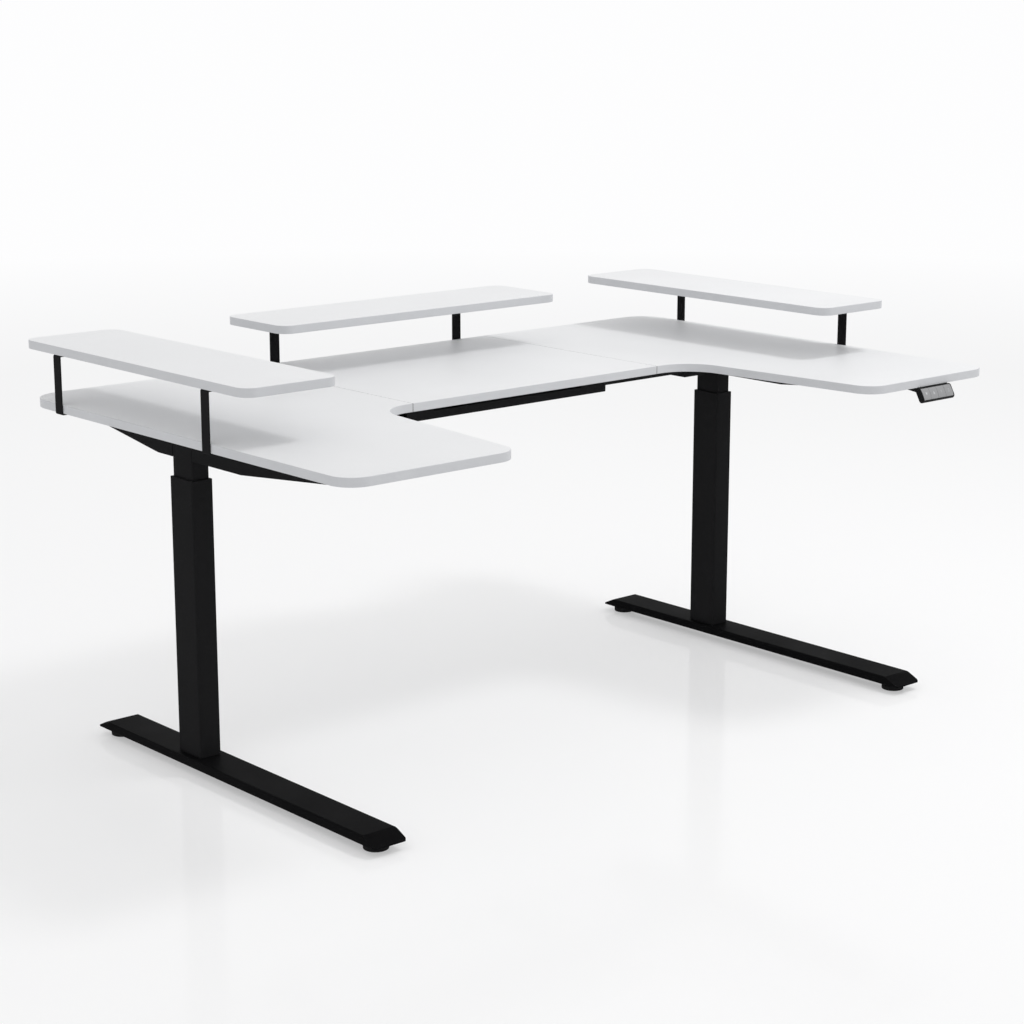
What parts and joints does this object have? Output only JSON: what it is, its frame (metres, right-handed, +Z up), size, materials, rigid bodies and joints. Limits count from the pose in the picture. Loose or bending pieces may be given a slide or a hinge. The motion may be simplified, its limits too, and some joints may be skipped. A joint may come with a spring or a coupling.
{
  "type": "u-shaped standing desk",
  "caption": "Height-adjustable U-shaped desk with a white top, raised shelves on black straps, motor-driven lifting columns, long feet, a cable tray and a keyed handset.",
  "frame": {"origin": "Centre of the bounding box's bottom face, on the floor, with the desk at 750 mm", "axes": "+X is to the right of a person in the bay of the U who faces the rear board, +Y points from that person to the rear board, +Z is up"},
  "size_m": [1.8066, 1.1232, 0.87],
  "materials": {
    "white_board": "white melamine-faced board with edge band",
    "black_steel": "satin black powder coat",
    "black_plastic": "fine-grained black",
    "grey_plastic": "smooth dark grey",
    "zinc_steel": "zinc plated",
    "bright_steel": "rolled thread, oiled",
    "brass": "machined",
    "nylon": "natural"
  },
  "bodies": {
    "base": {"left_foot": "black_steel", "left_foot_plate": "zinc_steel", "left_outer_column": "black_steel", "left_column_collar": "black_plastic", "left_push_tube": "zinc_steel", "left_spindle_nut": "brass", "right_foot": "black_steel", "right_foot_plate": "zinc_steel", "right_outer_column": "black_steel", "right_column_collar": "black_plastic", "right_push_tube": "zinc_steel", "right_spindle_nut": "brass"},
    "top": {"left_wing_board": "white_board", "centre_board": "white_board", "right_wing_board": "white_board", "left_shelf": "white_board", "rear_shelf": "white_board", "right_shelf": "white_board", "left_shelf_front_strap": "black_steel", "left_shelf_rear_strap": "black_steel", "rear_shelf_left_strap": "black_steel", "rear_shelf_right_strap": "black_steel", "right_shelf_front_strap": "black_steel", "right_shelf_rear_strap": "black_steel", "left_inner_column": "black_steel", "left_side_bracket": "black_steel", "left_rail_bracket": "black_steel", "left_motor_cover": "black_steel", "left_front_seam_plate": "black_steel", "left_rear_seam_plate": "black_steel", "left_column_slider": "nylon", "left_gear_motor": "black_plastic", "right_inner_column": "black_steel", "right_side_bracket": "black_steel", "right_rail_bracket": "black_steel", "right_motor_cover": "black_steel", "right_front_seam_plate": "black_steel", "right_rear_seam_plate": "black_steel", "right_column_slider": "nylon", "right_gear_motor": "black_plastic", "front_rail": "black_steel", "rear_rail": "black_steel", "cable_tray": "black_steel", "control_box": "black_plastic", "handset_housing": "black_plastic"},
    "left_spindle": {"left_spindle": "bright_steel"},
    "right_spindle": {"right_spindle": "bright_steel"},
    "down_key": {"down_key": "grey_plastic"},
    "up_key": {"up_key": "grey_plastic"},
    "memory_one_key": {"memory_one_key": "grey_plastic"},
    "memory_two_key": {"memory_two_key": "grey_plastic"},
    "left_front_glide": {"left_front_glide": "black_plastic"},
    "left_rear_glide": {"left_rear_glide": "black_plastic"},
    "right_front_glide": {"right_front_glide": "black_plastic"},
    "right_rear_glide": {"right_rear_glide": "black_plastic"}
  },
  "joints": [
    {"name": "lift", "type": "slide", "parent": "base", "child": "top", "axis": [0, 0, 1], "range_m": [-0.035, 0.43]},
    {"name": "left_spindle_turn", "type": "hinge", "parent": "top", "child": "left_spindle", "pos_m": [-0.7556, 0.16977, 0.7284], "axis": [0, 0, 1], "range_deg": [-790, 9680]},
    {"name": "right_spindle_turn", "type": "hinge", "parent": "top", "child": "right_spindle", "pos_m": [0.7556, 0.16977, 0.7284], "axis": [0, 0, 1], "range_deg": [-790, 9680]},
    {"name": "down_key_press", "type": "slide", "parent": "top", "child": "down_key", "axis": [0, 0.8746, -0.4848], "range_m": [0, 0.001], "stiffness_N_per_m": 2500},
    {"name": "up_key_press", "type": "slide", "parent": "top", "child": "up_key", "axis": [0, 0.8746, -0.4848], "range_m": [0, 0.001], "stiffness_N_per_m": 2500},
    {"name": "memory_one_key_press", "type": "slide", "parent": "top", "child": "memory_one_key", "axis": [0, 0.8746, -0.4848], "range_m": [0, 0.001], "stiffness_N_per_m": 2500},
    {"name": "memory_two_key_press", "type": "slide", "parent": "top", "child": "memory_two_key", "axis": [0, 0.8746, -0.4848], "range_m": [0, 0.001], "stiffness_N_per_m": 2500},
    {"name": "left_front_glide_level", "type": "slide", "parent": "base", "child": "left_front_glide", "axis": [0, 0, -1], "range_m": [0, 0.01]},
    {"name": "left_rear_glide_level", "type": "slide", "parent": "base", "child": "left_rear_glide", "axis": [0, 0, -1], "range_m": [0, 0.01]},
    {"name": "right_front_glide_level", "type": "slide", "parent": "base", "child": "right_front_glide", "axis": [0, 0, -1], "range_m": [0, 0.01]},
    {"name": "right_rear_glide_level", "type": "slide", "parent": "base", "child": "right_rear_glide", "axis": [0, 0, -1], "range_m": [0, 0.01]}
  ],
  "couplings": [
    {"joint": "left_spindle_turn", "follows": "lift", "rad_per_m": 392.7},
    {"joint": "right_spindle_turn", "follows": "lift", "rad_per_m": 392.7}
  ]
}
